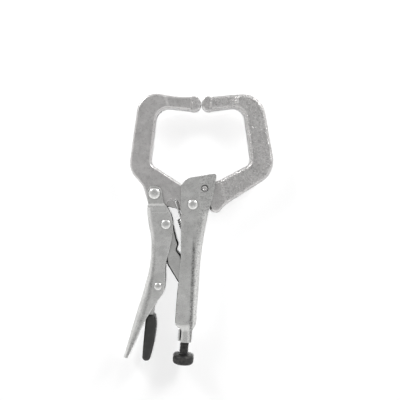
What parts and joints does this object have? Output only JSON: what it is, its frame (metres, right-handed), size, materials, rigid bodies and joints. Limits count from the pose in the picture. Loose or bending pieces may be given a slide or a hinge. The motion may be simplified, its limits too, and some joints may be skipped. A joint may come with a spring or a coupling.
{
  "type": "locking pliers",
  "caption": "Locking C-clamp pliers with forged bow jaws, folded steel handles, an over-centre toggle, a release lever and an adjusting screw.",
  "frame": {"origin": "axis of the main pivot rivet, in the plane that the rivets' back heads rest on", "axes": "+Y towards the jaw tips, +Z along the rivets away from the resting plane, +X towards the fixed jaw"},
  "size_m": [0.0825, 0.1502, 0.015],
  "materials": {
    "plated_sheet": "satin nickel-plated pressed sheet steel",
    "plated_forging": "satin nickel-plated forged steel with a fine pebbled skin",
    "bright_rivet": "bright plated steel",
    "spring_wire": "bright drawn spring wire",
    "black_vinyl": "dipped black vinyl, slightly glossy",
    "black_oxide": "black oxide steel"
  },
  "bodies": {
    "body": {"body_handle": "plated_sheet", "fixed_jaw": "plated_forging", "fixed_jaw_pin": "bright_rivet", "main_pivot_rivet": "bright_rivet", "jaw_spring": "spring_wire"},
    "jaw": {"moving_jaw": "plated_forging", "jaw_lever_rivet": "bright_rivet"},
    "lever": {"lever_handle": "plated_sheet", "link_rivet": "bright_rivet", "release_rivet": "bright_rivet"},
    "link": {"toggle_link": "plated_sheet"},
    "release": {"release_lever": "plated_sheet", "release_grip": "black_vinyl"},
    "screw": {"adjusting_screw": "black_oxide"},
    "knob": {"adjusting_knob": "black_oxide"}
  },
  "joints": [
    {"name": "jaw_pivot", "type": "hinge", "parent": "body", "child": "jaw", "pos_m": [0, 0, 0.0074], "axis": [0, 0, 1], "range_deg": [0, 30], "deforming": ["jaw_spring"]},
    {"name": "lever_pivot", "type": "hinge", "parent": "jaw", "child": "lever", "pos_m": [-0.02104, 0.00606, 0.0074], "axis": [0, 0, 1], "range_deg": [-86, 0]},
    {"name": "link_pivot", "type": "hinge", "parent": "lever", "child": "link", "pos_m": [-0.01468, -0.01084, 0.0074], "axis": [0, 0, 1], "range_deg": [0, 86]},
    {"name": "release_pivot", "type": "hinge", "parent": "lever", "child": "release", "pos_m": [-0.01907, -0.04481, 0.0074], "axis": [0, 0, 1], "range_deg": [-9, 0]},
    {"name": "screw_travel", "type": "slide", "parent": "body", "child": "screw", "axis": [-0.0826, -0.9966, 0], "range_m": [0, 0.02]},
    {"name": "knob_spin", "type": "hinge", "parent": "screw", "child": "knob", "pos_m": [-0.0052, -0.08295, 0.0074], "axis": [-0.0826, -0.9966, 0], "range_deg": [0, 9000]}
  ],
  "couplings": [
    {"joint": "lever_pivot", "follows": "jaw_pivot", "ratio": -2.859},
    {"joint": "link_pivot", "follows": "jaw_pivot", "ratio": 2.858},
    {"joint": "knob_spin", "follows": "screw_travel", "rad_per_m": 7854}
  ]
}
